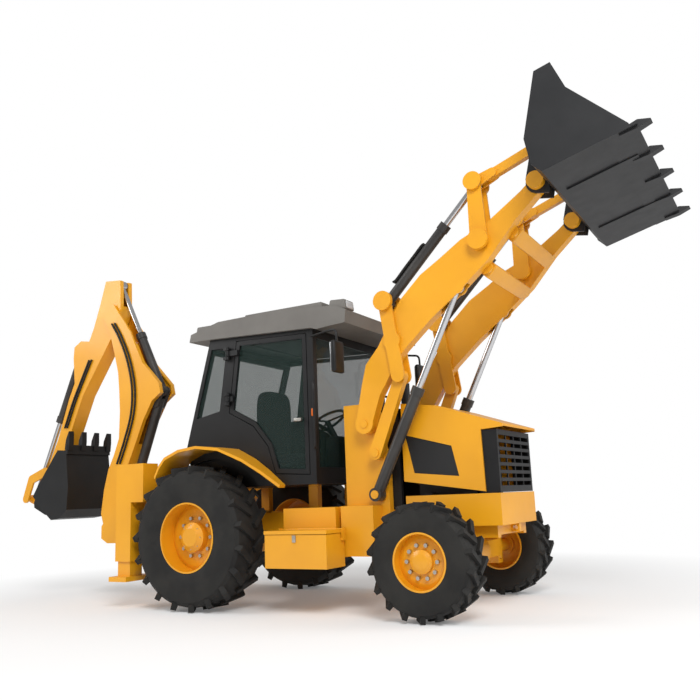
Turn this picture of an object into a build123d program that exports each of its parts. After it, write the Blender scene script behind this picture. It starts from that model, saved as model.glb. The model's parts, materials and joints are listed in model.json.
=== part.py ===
import math
import os

from build123d import *

os.makedirs("parts", exist_ok=True)

# Backhoe loader, millimetres. X forward from the rear axle, Y to the left, Z up from the ground.
ORIGIN_X = 664.5

# Wheels
WHEELBASE = 2330.0
REAR_TYRE_R, REAR_TYRE_W, REAR_TRACK = 660.0, 440.0, 1770.0
FRONT_TYRE_R, FRONT_TYRE_W, FRONT_TRACK = 460.0, 330.0, 1810.0
REAR_RIM_R, FRONT_RIM_R = 318.0, 226.0
KINGPIN_Y = 680.0
KINGPIN_R = 32.0

# Fits
PIN_FIT = 0.3
SIDE_GAP = 6.0
PLATE = 22.0

# Chassis
RAIL_IN, RAIL_OUT = 300.0, 370.0
RAIL_LOW, RAIL_HIGH = 600.0, 850.0
FRAME_REAR, FRAME_FRONT = -700.0, 2740.0
TOWER_IN, TOWER_OUT = 440.0, 512.0
TOW_PIN = (2775.0, 665.0)
TOW_PIN_R = 20.0

# Loader pivots in side view (X, Z), arms raised
ARM_PIVOT = (1671.0, 1601.0)
LEVER_PIVOT = (1996.0, 2305.0)
LINK_FOOT = (1761.0, 1341.0)
LINK_TOP = (2038.0, 1996.0)
LEVER_TOP = (1942.0, 2668.0)
LIFT_BASE = (1750.0, 985.0)
LIFT_EYE = (2618.0, 2703.0)
BELL_PIVOT = (2861.0, 3054.0)
BELL_TOP = (2848.0, 3578.0)
BUCKET_PIVOT = (3391.0, 3443.0)
BUCKET_CRANK = (3436.0, 3786.0)
ARM_IN, ARM_OUT = 530.0, 632.0
LOADER_PIN_R = 36.0
# Round heads of the loader pins: radius, thickness
PIN_HEAD = (88.0, 40.0)
CRANK_PIN_HEAD = (80.0, 30.0)
BUCKET_PIN_HEAD = (72.0, 60.0)

# Loader bucket
BUCKET_HALF = 1115.0
BUCKET_WALL = 18.0
LOADER_TEETH = 5
TOOTH_SPAN = 2096.0

# Backhoe pivots in side view (X, Z), boom raised and dipper folded
SHIFT_Y = -380.0
KINGPOST_X = -1350.0
BOOM_FOOT = (-1590.0, 693.0)
BOOM_EAR = (-958.0, 2182.0)
BOOM_RAM_FOOT = (-1455.0, 900.0)
BOOM_TOP = (-1695.0, 3160.0)
DIPPER_EAR = (-1605.0, 3478.0)
RAM_EAR = (-2225.0, 2790.0)
LEVER_PIN = (-2659.0, 1389.0)
ROD_PIN = (-2977.0, 1089.0)
DIG_CRANK = (-2610.0, 957.0)
DIG_PIVOT = (-2710.0, 1130.0)
BOOM_HALF, DIPPER_HALF = 120.0, 90.0
DIG_HALF = 310.0
DIG_TEETH = 4
HOE_PIN_R = 32.0

# Stabilisers and slide frame
LEG_Y = 950.0
LEG_X = -830.0
LEG_SIZE = 160.0
SLEEVE_WALL = 20.0
SLIDE_FACE = -940.0

# Toolbox lid hinge line (Y, Z), and the bonnet hinge line (X, Z)
LID_AXIS = (722.0, 707.0)
BONNET_AXIS = (1962.0, 1728.0)

# Cab
CAB_HALF = 700.0
CAB_WALL = 45.0
CAB_FRONT = 1205.0
CAB_FLOOR = 1100.0
DOOR_HINGE_X = 225.0


def slab(points, y0, y1, radius=0.0):
    """A plate with this side-view outline, from y0 to y1."""
    corners = [(x, y0, z) for x, z in points]
    if radius:
        outline = FilletPolyline(*corners, radius=radius, close=True)
    else:
        outline = Polyline(*corners, close=True)
    return extrude(make_face(outline), amount=y1 - y0, dir=(0, 1, 0))


def block(x0, x1, y0, y1, z0, z1):
    """A box between these faces."""
    return Pos((x0 + x1) / 2, (y0 + y1) / 2, (z0 + z1) / 2) * Box(x1 - x0, y1 - y0, z1 - z0)


def across(point, r, y0, y1):
    """A round bar across the machine at a side-view point."""
    return Pos(point[0], (y0 + y1) / 2, point[1]) * Rot(90, 0, 0) * Cylinder(r, y1 - y0)


def headed(point, y0, y1, head):
    """A loader pin across the machine with a round head at each end, outside y0 and y1."""
    r, thick = head
    pin = across(point, LOADER_PIN_R, y0 - 1, y1 + 1)
    return pin + across(point, r, y0 - thick, y0) + across(point, r, y1, y1 + thick)


def upright(x, y, r, z0, z1):
    """A vertical round bar."""
    return Pos(x, y, (z0 + z1) / 2) * Cylinder(r, z1 - z0)


def strap(p, q, rp, rq, y0, y1):
    """A link plate: two round ends joined by their outer tangents."""
    along = math.atan2(q[1] - p[1], q[0] - p[0])
    spread = math.acos((rp - rq) / math.dist(p, q))

    def rim(centre, r, angle):
        return (centre[0] + r * math.cos(angle), y0, centre[1] + r * math.sin(angle))

    p_up, p_low = rim(p, rp, along + spread), rim(p, rp, along - spread)
    q_up, q_low = rim(q, rq, along + spread), rim(q, rq, along - spread)
    edges = [Line(p_up, q_up), ThreePointArc(q_up, rim(q, rq, along), q_low), Line(q_low, p_low),
             ThreePointArc(p_low, rim(p, rp, along + math.pi), p_up)]
    return extrude(make_face(edges), amount=y1 - y0, dir=(0, 1, 0))


def spun(profile, x, z):
    """A body of revolution about a cross axis, from (radius, y) points."""
    face = make_face(Polyline(*[(x + r, y, z) for r, y in profile], close=True))
    return revolve(face, Axis((x, 0, z), (0, 1, 0)))


def pair(shape):
    """The same piece on both sides of the machine."""
    return shape + mirror(shape, Plane.XZ)


def toward(p, q, distance):
    """The point this far along the line from p to q."""
    share = distance / math.dist(p, q)
    return (p[0] + (q[0] - p[0]) * share, p[1] + (q[1] - p[1]) * share)


def ram(base, eye, y, barrel_r, rod_r, barrel_length, base_w, eye_w, pin_r, eye_r, neck=0.0):
    """A hydraulic cylinder in a side-view plane: its barrel, with the base eye bored, and its rod."""
    length = math.dist(base, eye)
    frame = Plane(origin=(base[0], y, base[1]), x_dir=(0, 1, 0),
                  z_dir=(eye[0] - base[0], 0, eye[1] - base[1]))
    low = (Align.CENTER, Align.CENTER, Align.MIN)
    start = max(neck, eye_r * 0.6)
    tube = Pos(0, 0, start) * Cylinder(barrel_r, barrel_length - start, align=low)
    if neck:
        tube += Pos(0, 0, neck / 2 + 5) * Box(base_w, 1.5 * eye_r, neck + 10)
    gland = Pos(0, 0, barrel_length - 70) * Cylinder(barrel_r + 7, 70, align=low)
    cross = Rot(0, 90, 0)
    barrel = frame * (tube + gland + cross * Cylinder(eye_r, base_w)
                      - cross * Cylinder(pin_r + PIN_FIT, base_w + 2)
                      - Pos(0, 0, max(neck, eye_r) + 25) * Cylinder(rod_r + PIN_FIT, barrel_length, align=low))
    start = barrel_length - 110
    shaft = Pos(0, 0, start) * Cylinder(rod_r, length - start, align=low)
    rod = frame * (shaft + Pos(0, 0, length) * cross * Cylinder(eye_r, eye_w))
    return barrel, rod


def wheels():
    """Four wheels, each a tyre on a dished rim, front and rear sizes from one table."""
    made = {}
    # name, centre x, tyre radius, width, track, rim radius, disc inset from the outer edge, hub radius
    table = [("rear", 0.0, REAR_TYRE_R, REAR_TYRE_W, REAR_TRACK, REAR_RIM_R, 150.0, 135.0),
             ("front", WHEELBASE, FRONT_TYRE_R, FRONT_TYRE_W, FRONT_TRACK, FRONT_RIM_R, 75.0, 92.0)]
    for name, x, r, w, track, rim_r, inset, hub_r in table:
        half, y = w / 2, track / 2
        wall = r - rim_r
        tyre = spun([(rim_r + PIN_FIT, y - half * 0.86), (rim_r + 0.30 * wall, y - half * 0.97),
                     (rim_r + 0.55 * wall, y - half), (r * 0.93, y - half * 0.97), (r, y - half * 0.72),
                     (r, y + half * 0.72), (r * 0.93, y + half * 0.97), (rim_r + 0.55 * wall, y + half),
                     (rim_r + 0.30 * wall, y + half * 0.97), (rim_r + PIN_FIT, y + half * 0.86)], x, r)
        disc = y + half * 0.86 - inset
        barrel = spun([(rim_r - 14, y - half * 0.86), (rim_r, y - half * 0.86),
                       (rim_r, y + half * 0.86), (rim_r - 14, y + half * 0.86)], x, r)
        plate = spun([(hub_r - 30, disc - 18), (rim_r - 60, disc - 18), (rim_r - 8, disc - 40),
                      (rim_r - 8, disc - 22), (rim_r - 58, disc), (hub_r - 30, disc)], x, r)
        hub = spun([(30 + PIN_FIT, disc - 40), (hub_r, disc - 40), (hub_r, disc + inset * 0.45),
                    (hub_r * 0.6, disc + inset * 0.7), (0, disc + inset * 0.7), (0, disc + 10),
                    (30 + PIN_FIT, disc + 10)], x, r)
        rim = barrel + plate + hub
        for side in ("left", "right"):
            flip = (lambda s: s) if side == "left" else (lambda s: mirror(s, Plane.XZ))
            made[f"{name}_tyre_{side}"] = flip(tyre)
            made[f"{name}_rim_{side}"] = flip(rim)
    return made


def wheel_disc_y(track, width, inset):
    return track / 2 + width / 2 * 0.86 - inset


def axles():
    """Rear axle with hub flanges, front beam with kingpin forks, and the two steered knuckles."""
    rear_disc = wheel_disc_y(REAR_TRACK, REAR_TYRE_W, 150.0)
    front_disc = wheel_disc_y(FRONT_TRACK, FRONT_TYRE_W, 75.0)
    rear_c, front_c = (0.0, REAR_TYRE_R), (WHEELBASE, FRONT_TYRE_R)
    rear = across(rear_c, 105, -rear_disc + 130, rear_disc - 130)
    rear += across(rear_c, 210, -150, 150)
    for end in (-1, 1):
        rear += across(rear_c, 130, *sorted((end * (rear_disc - 130), end * (rear_disc - 46))))
        rear += across(rear_c, 30, *sorted((end * (rear_disc - 46), end * (rear_disc + 5))))
    beam_end = KINGPIN_Y - 75
    front = block(WHEELBASE - 75, WHEELBASE + 75, -beam_end, beam_end, FRONT_TYRE_R - 75, FRONT_TYRE_R + 75)
    front += across(front_c, 150, -130, 130)
    ear = block(WHEELBASE - 60, WHEELBASE + 60, beam_end - 40, KINGPIN_Y, FRONT_TYRE_R + 112, FRONT_TYRE_R + 146)
    ear += upright(WHEELBASE, KINGPIN_Y, 60, FRONT_TYRE_R + 112, FRONT_TYRE_R + 146)
    ear += block(WHEELBASE - 60, WHEELBASE + 60, beam_end - 40, beam_end, FRONT_TYRE_R - 10, FRONT_TYRE_R + 130)
    ear += mirror(ear, Plane.XY.offset(FRONT_TYRE_R))
    ear += upright(WHEELBASE, KINGPIN_Y, KINGPIN_R, FRONT_TYRE_R - 146, FRONT_TYRE_R + 146)
    front += pair(ear)
    front += block(WHEELBASE - 110, WHEELBASE + 110, -110, 110, FRONT_TYRE_R + 60, RAIL_LOW + 20)
    knuckle = upright(WHEELBASE, KINGPIN_Y, 60, FRONT_TYRE_R - 106, FRONT_TYRE_R + 106)
    knuckle += across(front_c, 62, KINGPIN_Y, front_disc - 46)
    knuckle += across(front_c, 30, front_disc - 46, front_disc + 5)
    knuckle -= upright(WHEELBASE, KINGPIN_Y, KINGPIN_R + PIN_FIT, 0, 2 * FRONT_TYRE_R)
    return {"axles": rear + front, "knuckle_left": knuckle,
            "knuckle_right": mirror(knuckle, Plane.XZ)}


def chassis():
    """Ladder frame with the loader towers, whose pins stand out to carry the arms."""
    frame = pair(block(FRAME_REAR, FRAME_FRONT, RAIL_IN, RAIL_OUT, RAIL_LOW, RAIL_HIGH))
    for x in (FRAME_REAR, 620.0, 1500.0, FRAME_FRONT - 80):
        frame += block(x, x + 80, -RAIL_OUT, RAIL_OUT, RAIL_LOW + 20, RAIL_HIGH - 20)
    frame += block(WHEELBASE - 110, WHEELBASE + 110, -RAIL_OUT, RAIL_OUT, RAIL_LOW + 20.2, RAIL_HIGH - 20)
    for x in (-150, 900):
        frame += pair(block(x, x + 100, RAIL_IN, RAIL_OUT, RAIL_HIGH - 10, CAB_FLOOR))
    tower = slab([(1400, RAIL_LOW), (1400, 1792), (1640, 1792), (1778, 1690), (1778, 1500), (1830, 1260),
                  (1830, RAIL_LOW)], TOWER_IN, TOWER_OUT)
    tower += block(1400, 1830, RAIL_OUT - 5, TOWER_IN + 5, RAIL_LOW, RAIL_HIGH)
    tower += block(1400, 1440, 300, TOWER_IN + 5, RAIL_HIGH - 10, 1700)
    for point, end in ((ARM_PIVOT, ARM_OUT), (LINK_FOOT, ARM_OUT - 15), (LIFT_BASE, ARM_OUT + 2)):
        tower += across(point, LOADER_PIN_R, TOWER_IN + 5, end + 8)
        tower += across(point, LOADER_PIN_R + 22, TOWER_OUT - 5, TOWER_OUT + 8)
    frame += pair(tower)
    frame += block(FRAME_FRONT - 5, FRAME_FRONT + 70, -25, 25, 630, 700)
    frame -= across(TOW_PIN, TOW_PIN_R, -30, 30)
    frame -= across((0, REAR_TYRE_R), 105.5, -600, 600)
    frame -= across((0, REAR_TYRE_R), 211, -152, 152)
    tank = block(1430, 1750, TOWER_OUT + 0.2, 680, 470, 895)
    engine = block(1990, 2600, -230, 230, 905, 1440)
    engine += pair(block(2080, 2160, 225, 360, RAIL_HIGH, 980) + block(2460, 2540, 225, 360, RAIL_HIGH, 980))
    cowl = block(1445, 1908, -430, 430, RAIL_HIGH, 1735)
    cowl -= block(1490, 1960, -390, 390, RAIL_HIGH - 10, 1690)
    cowl += pair(across(BONNET_AXIS, 8, 290, 362) + across(BONNET_AXIS, 14, 336, 362)
                 + block(1898, BONNET_AXIS[0], 336, 362, BONNET_AXIS[1] - 14, BONNET_AXIS[1] - 4))
    stack = upright(1860, -150, 42, 1735.2, 1990) + upright(1860, -150, 30, 1980, 2230)
    stack += Pos(1860, -150, 2225) * Sphere(30)
    stack += Plane(origin=(1860, -150, 2225), x_dir=(0, 1, 0), z_dir=(-0.7, 0, 0.7)) * Cylinder(
        30, 90, align=(Align.CENTER, Align.CENTER, Align.MIN))
    tanks = pair(tank) + block(838, 1390, RAIL_OUT + 0.2, 1000, 392, 890)
    return {"main_frame": frame, "tanks": tanks, "engine": engine, "cowl": cowl + stack}


def front_body():
    """Hinged bonnet with side screens, dark grille and the nose band."""
    half, sheet = 450.0, 16.0
    profile = [(1950, 1088), (1950, 1770), (2300, 1722), (2870, 1528), (2870, 1500), (2680, 1488), (2690, 978)]
    inner = [(1900, 1000), (1900, 1752), (2297, 1705), (2830, 1522), (2900, 1494), (2900, 900)]
    bonnet = slab(profile, -half, half)
    bonnet -= slab(inner, -half + sheet, half - sheet)
    window = [(1975, 1490), (2410, 1370), (2465, 1112), (2050, 1155)]
    bonnet -= slab(window, -half - 5, half + 5)
    screen = slab([(1968, 1497), (2418, 1377), (2473, 1104), (2043, 1147)], half - sheet - 8, half - sheet - 0.2)
    hinge = pair(block(1952, 1990, 300, 330, BONNET_AXIS[1] - 14, 1760) + across(BONNET_AXIS, 14, 300, 330))
    bonnet += hinge
    bonnet -= across(BONNET_AXIS, 8 + PIN_FIT, -340, 340)
    inside = half - sheet - PIN_FIT
    grille = block(2640, 2812, -inside, inside, 966, 1484) - block(2630, 2790, -inside + 14, inside - 14, 950, 1490)
    for row in range(7):
        z = 1020 + row * 64
        grille -= block(2780, 2820, -400, 400, z, z + 36)
    for column in range(5):
        grille += block(2794, 2808, -400 + column * 200 - 8, -400 + column * 200 + 8, 990, 1480)
    nose = block(1960, 2816, -455, 455, 702, 962) - block(1900, 2776, -425, 425, 690, 965)
    nose += block(FRAME_FRONT, 2780, -300, 300, 715, 815)
    return {"bonnet": bonnet + pair(screen), "grille": grille, "nose": nose}


def cab_profile(grow):
    """Side outline of the cab body, grown or shrunk."""
    return [(-325 - grow, 1500), (-15 - grow, 2570 + grow), (CAB_FRONT + grow, 2520 + grow),
            (CAB_FRONT + grow, CAB_FLOOR - grow), (-210 - grow, CAB_FLOOR - grow)]


DOOR = [(215, 1815), (505, 1665), (672, 1465), (756, 1205), (1140, 1182), (1135, 2490), (312, 2520)]


def cab():
    """Hollow cab with its window and door openings, roof, glass, doors, seat and controls."""
    shell = slab(cab_profile(0), -CAB_HALF, CAB_HALF)
    axle = (0, REAR_TYRE_R)
    arch_in = REAR_TRACK / 2 - REAR_TYRE_W / 2 - 25
    room = slab(cab_profile(-CAB_WALL), -CAB_HALF + CAB_WALL, CAB_HALF - CAB_WALL)
    room -= pair(across(axle, REAR_TYRE_R + 100, arch_in - 40, CAB_HALF))
    shell -= room
    shell -= pair(across(axle, REAR_TYRE_R + 60, arch_in, CAB_HALF + 5))
    shell -= slab(DOOR, -CAB_HALF - 5, CAB_HALF + 5)
    front_glass = (-CAB_HALF + 60, CAB_HALF - 60, 1250, 2440)
    shell -= block(CAB_FRONT - 60, CAB_FRONT + 10, *front_glass)
    shell -= slab([(-400, 1700), (-200, 2430), (60, 2430), (-150, 1700)], -CAB_HALF + 70, CAB_HALF - 70)
    quarter = [(-195, 1790), (0, 2470), (190, 2465), (100, 1845)]
    shell -= slab(quarter, -CAB_HALF - 5, CAB_HALF + 5)
    pane = 6.0
    glass = block(CAB_FRONT - 22, CAB_FRONT - 22 + pane, front_glass[0] + 0.2, front_glass[1] - 0.2,
                  front_glass[2] + 0.2, front_glass[3] - 0.2)
    slope = (2570 - 1500) / (325 - 15)
    rear = slab([(-325 + (z - 1500) / slope + dx, z) for z, dx in ((1700.2, 20), (2429.8, 20), (2429.8, 27), (1700.2, 27))],
                -CAB_HALF + 70.2, CAB_HALF - 70.2)
    side = slab([(-194.6, 1790.3), (0.2, 2469.7), (189.6, 2464.7), (99.8, 1845.3)], CAB_HALF - 20, CAB_HALF - 20 + pane)
    glass += rear
    glass += pair(side)
    roof = slab([(-255, 2572), (-235, 2650), (120, 2735), (900, 2742), (1480, 2690), (1590, 2640), (1575, 2520),
                 (CAB_FRONT + 60, 2500), (CAB_FRONT + 0.2, 2520.2), (-15, 2570.2)], -CAB_HALF - 40, CAB_HALF + 40)
    trim = 8.0
    doors = {}
    face = make_face(Polyline(*[(x, 0, z) for x, z in DOOR], close=True))
    body = extrude(offset(face, amount=-trim, kind=Kind.INTERSECTION), amount=-33, dir=(0, -1, 0))
    hole = extrude(offset(face, amount=-trim - 42, kind=Kind.INTERSECTION), amount=-33, dir=(0, -1, 0))
    pane_face = offset(face, amount=-trim - 42.2, kind=Kind.INTERSECTION)
    leaf = Pos(0, CAB_HALF - 33, 0) * (body - hole)
    light = Pos(0, CAB_HALF - 22, 0) * extrude(pane_face, amount=-pane, dir=(0, -1, 0))
    hinge_x, hinge_y = DOOR_HINGE_X, CAB_HALF + 28
    knuckles = None
    posts = None
    for z in (1950, 2400):
        edge = 215 + (z - 1815) / (2520 - 1815) * (312 - 215)
        arm = block(hinge_x, edge + 50, CAB_HALF + 4, CAB_HALF + 28, z - 25, z + 25)
        arm += block(edge + 16, edge + 50, CAB_HALF - 10, CAB_HALF + 10, z - 25, z + 25)
        arm += upright(hinge_x, hinge_y, 20, z - 25, z + 25)
        arm -= upright(hinge_x, hinge_y, 9 + PIN_FIT, z - 30, z + 30)
        knuckles = arm if knuckles is None else knuckles + arm
        post = upright(hinge_x, hinge_y, 9, z - 60, z + 60)
        for low in (z - 62, z + 32):
            post += upright(hinge_x, hinge_y, 20, low, low + 30)
            post += block(hinge_x - 40, hinge_x, CAB_HALF - 3, hinge_y + 18, low, low + 30)
        posts = post if posts is None else posts + post
    leaf += knuckles
    shell += pair(posts)
    seat = block(250, 720, -250, 250, 1260, 1420) + block(180, 330, -240, 240, 1400, 2080)
    seat += block(360, 620, -150, 150, CAB_FLOOR + CAB_WALL + 0.2, 1262)
    console = block(960, 1120, -140, 140, CAB_FLOOR + CAB_WALL + 0.2, 1560)
    console += Plane(origin=(1010, 0, 1540), x_dir=(0, 1, 0), z_dir=(-0.5, 0, 0.87)) * Cylinder(
        28, 210, align=(Align.CENTER, Align.CENTER, Align.MIN))
    wheel_plane = Plane(origin=(1010 - 105, 0, 1540 + 183), x_dir=(0, 1, 0), z_dir=(-0.5, 0, 0.87))
    console += wheel_plane * Torus(190, 14)
    console += wheel_plane * Cylinder(45, 20)
    for turn in (30, 150, 270):
        console += wheel_plane * Rot(0, 0, turn) * Pos(105, 0, 0) * Box(180, 26, 12)
    doors["door_left"] = leaf
    doors["door_right"] = mirror(leaf, Plane.XZ)
    doors["door_glass_left"] = light
    doors["door_glass_right"] = mirror(light, Plane.XZ)
    return {"cab": shell, "cab_glass": glass, "roof": roof, "operator_station": seat + console, **doors}


def side_pieces():
    """Rear fenders, toolbox with its lid, fuel tank, mirrors."""
    outer = [(-395, 1230), (-340, 1330), (-270, 1404), (-97, 1469), (120, 1491), (330, 1462), (540, 1353),
             (700, 1238), (862, 1104)]
    inner = [(x * 0.985 + 4, z - 26) for x, z in reversed(outer)]
    fender = slab(outer + inner, CAB_HALF + 0.2, 1085)
    taper = make_face(Polyline((180, 1090, 1000), (870, 785, 1000), (1000, 785, 1000), (1000, 1200, 1000),
                               (180, 1200, 1000), close=True))
    fender -= extrude(taper, amount=600, dir=(0, 0, 1))
    low, high = 392.0, 672.0
    chest = block(838, 1468, RAIL_OUT + 330, 1000, low, high)
    chest -= block(850, 1456, RAIL_OUT + 342, 988, low + 12, high + 5)
    chest += block(838, 1390, RAIL_OUT + 0.2, RAIL_OUT + 335, low + 60, 890)
    lid_y, lid_z = LID_AXIS
    lid = block(832, 1474, lid_y, 1006, lid_z - 30, lid_z)
    rib = Pos(1153, lid_y, lid_z) * Rot(0, 90, 0) * Cylinder(9, 500)
    bore = Pos(1153, lid_y, lid_z) * Rot(0, 90, 0) * Cylinder(5 + PIN_FIT, 700)
    lid = lid + rib - bore
    chest += Pos(1153, lid_y, lid_z) * Rot(0, 90, 0) * Cylinder(5, 660)
    for x, end in ((818, 845), (1476.5, 1461)):
        chest += block(x, x + 11.5, lid_y - 10, lid_y + 40, high - 60, lid_z + 10)
        chest += block(min(x, end), max(x + 11.5, end), lid_y - 5, lid_y + 40, high - 60, high - 40)
    return {"fenders": pair(fender), "toolbox": mirror(chest, Plane.XZ), "toolbox_lid": mirror(lid, Plane.XZ)}


def loader():
    """Loader arms, parallel-lift levers, tilt and lift cylinders, bellcranks, push links and bucket."""
    mid = (ARM_IN + ARM_OUT) / 2
    plates = [(ARM_IN - SIDE_GAP - PLATE, ARM_IN - SIDE_GAP), (ARM_OUT + SIDE_GAP, ARM_OUT + SIDE_GAP + PLATE)]
    hole = LOADER_PIN_R + PIN_FIT
    upper = [(3362, 3505), (3238, 3402), (2935, 3200), (2685, 3096), (2491, 2972), (2294, 2855), (2087, 2663),
             (1847, 2272), (1717, 2125), (1668, 1949), (1598, 1640)]
    lower = [(1745, 1575), (1844, 1842), (1952, 2008), (2100, 2212), (2363, 2441), (2654, 2659), (2930, 2888),
             (3177, 3168), (3412, 3380)]
    outline = make_face(Polyline(*[(x, ARM_IN, z) for x, z in upper + lower], close=True))
    arm = extrude(outline, amount=ARM_OUT - ARM_IN, dir=(0, 1, 0))
    core = extrude(offset(outline, amount=-16, kind=Kind.INTERSECTION), amount=ARM_OUT - ARM_IN - 32, dir=(0, 1, 0))
    arm -= Pos(0, 16, 0) * core
    for point, r in ((ARM_PIVOT, 88), (BUCKET_PIVOT, 66), (LEVER_PIVOT, 62), (BELL_PIVOT, 62)):
        arm += across(point, r, ARM_IN, ARM_OUT)
    for point in (ARM_PIVOT, BUCKET_PIVOT, LEVER_PIVOT, BELL_PIVOT):
        arm -= across(point, hole, ARM_IN - 5, ARM_OUT + 5)
    slot = strap(LIFT_EYE, toward(LIFT_EYE, LIFT_BASE, 420), 82, 60, mid - 33, mid + 33)
    slot += strap(LIFT_EYE, (LIFT_EYE[0] - 60, LIFT_EYE[1] - 300), 82, 60, mid - 33, mid + 33)
    slot += strap(LIFT_EYE, (LIFT_EYE[0] + 84, LIFT_EYE[1] - 88), 82, 74, mid - 33, mid + 33)
    arm -= slot
    arm += strap(LIFT_EYE, toward(LIFT_EYE, BELL_PIVOT, 120), 70, 40, ARM_IN - 0.0, mid - 33)
    arm += strap(LIFT_EYE, toward(LIFT_EYE, BELL_PIVOT, 120), 70, 40, mid + 33, ARM_OUT)
    arms = pair(arm)
    for point in ((3105, 3118), (2858, 2848)):
        arms += across(point, 58, -ARM_IN - 2, ARM_IN + 2) - across(point, 48, -ARM_IN - 1, ARM_IN + 1)

    lever = None
    for y0, y1 in plates:
        cheek = strap(LEVER_TOP, LINK_TOP, 62, 62, y0, y1) + across(LEVER_PIVOT, 80, y0, y1)
        cheek -= across(LEVER_TOP, hole, y0 - 5, y1 + 5)
        lever = cheek if lever is None else lever + cheek
    lever += across(LEVER_PIVOT, LOADER_PIN_R, plates[0][0], plates[1][1])
    link = strap(LINK_FOOT, LINK_TOP, 58, 52, mid - 34, mid + 34)
    link -= across(LINK_FOOT, hole, 0, 900)

    lift_barrel, lift_rod = ram(LIFT_BASE, LIFT_EYE, mid, 50, 30, 1000, 100, 56, LOADER_PIN_R, 58)
    tilt_barrel, tilt_rod = ram(LEVER_TOP, BELL_TOP, mid, 46, 28, 860, 100, 46, LOADER_PIN_R, 54)
    pin_in, pin_out = plates[0][0] - 4, plates[1][1] + 4
    tilt_pin = headed(LEVER_TOP, pin_in, pin_out, PIN_HEAD)

    bell = None
    link_pin = None
    for (y0, y1), (c0, c1) in zip(plates, ((mid - 49, mid - 29), (mid + 29, mid + 49))):
        cheek = strap(BELL_PIVOT, BELL_TOP, 78, 60, y0, y1)
        cheek -= across(BELL_PIVOT, hole, y0 - 5, y1 + 5) + across(BELL_TOP, hole, y0 - 5, y1 + 5)
        bell = cheek if bell is None else bell + cheek
        pin = across(BELL_TOP, LOADER_PIN_R, min(pin_in, c0) if c0 < mid else c0, max(pin_out, c1) if c1 > mid else c1)
        link_pin = pin if link_pin is None else link_pin + pin
    head_r, head = CRANK_PIN_HEAD
    link_pin += across(BELL_TOP, head_r, pin_in - head, pin_in) + across(BELL_TOP, head_r, pin_out, pin_out + head)
    bell_pin = headed(BELL_PIVOT, pin_in, pin_out, PIN_HEAD)
    fork = toward(BELL_TOP, BUCKET_CRANK, 130)
    push = strap(fork, BUCKET_CRANK, 40, 40, mid - 30, mid + 30)
    for c0, c1 in ((mid - 49, mid - 29), (mid + 29, mid + 49)):
        push += strap(BELL_TOP, toward(BELL_TOP, BUCKET_CRANK, 170), 54, 40, c0, c1)
        push -= across(BELL_TOP, hole, c0 - 5, c1 + 5)
    push -= across(BELL_TOP, 85, mid - 29, mid + 29)

    w = BUCKET_WALL
    side = [(3556, 3325), (3478, 3405), (3441, 3620), (3563, 4150), (3694, 4184), (3792, 3946), (4205, 3532),
            (4215, 3505)]
    outer = [(3556, 3325), (3486, 3402), (3470, 3500), (3480, 3590), (3548, 3790), (3592, 4154), (3694, 4184), (4000, 4000),
             (4215, 3505)]
    inside = [(3561, 3346), (3503, 3410), (3489, 3502), (3498, 3586), (3566, 3787), (3611, 4159), (3900, 4500), (4700, 3800),
              (4260, 3538)]
    bucket = slab(side, -BUCKET_HALF, -BUCKET_HALF + 20)
    bucket = pair(bucket) + (slab(outer, -BUCKET_HALF + 10, BUCKET_HALF - 10)
                             - slab(inside, -BUCKET_HALF + 9, BUCKET_HALF - 9))
    bucket += slab([(4030, 3450), (4262, 3512), (4258, 3528), (4025, 3470)], -BUCKET_HALF, BUCKET_HALF)
    pitch = TOOTH_SPAN / (LOADER_TEETH - 1)
    for number in range(LOADER_TEETH):
        y = -TOOTH_SPAN / 2 + number * pitch
        bucket += slab([(4130, 3462), (4256, 3488), (4356, 3530), (4352, 3540), (4262, 3556), (4130, 3505)],
                       y - 38, y + 38)
    ears = None
    for y0, y1 in plates:
        ear = slab([(3365, 3352), (3480, 3330), (3500, 3420), (3600, 3620), (3600, 3900), (3400, 3880), (3300, 3480)],
                   y0, y1)
        ear += across(BUCKET_PIVOT, 92, y0, y1) + across(BUCKET_CRANK, 66, y0, y1)
        ear -= across(BUCKET_PIVOT, hole, y0 - 5, y1 + 5)
        ears = ear if ears is None else ears + ear
    keep = slab([(3561, 3346), (3503, 3410), (3489, 3502), (3498, 3586), (3566, 3787), (3611, 4159), (4700, 4200), (4700, 3300)],
                400, 800)
    bucket += pair(ears - keep)
    bucket_pin = headed(BUCKET_PIVOT, pin_in, pin_out, BUCKET_PIN_HEAD)
    return {"loader_arm": arms, "loader_lever": pair(lever), "lower_links": pair(link),
            "lift_barrels": pair(lift_barrel), "lift_rods": pair(lift_rod),
            "tilt_barrels": pair(tilt_barrel), "tilt_rods": pair(tilt_rod), "tilt_pins": pair(tilt_pin),
            "bellcranks": pair(bell), "bellcrank_pins": pair(bell_pin), "push_link_pins": pair(link_pin),
            "push_links": pair(push), "loader_bucket": bucket, "bucket_pins": pair(bucket_pin)}


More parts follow.
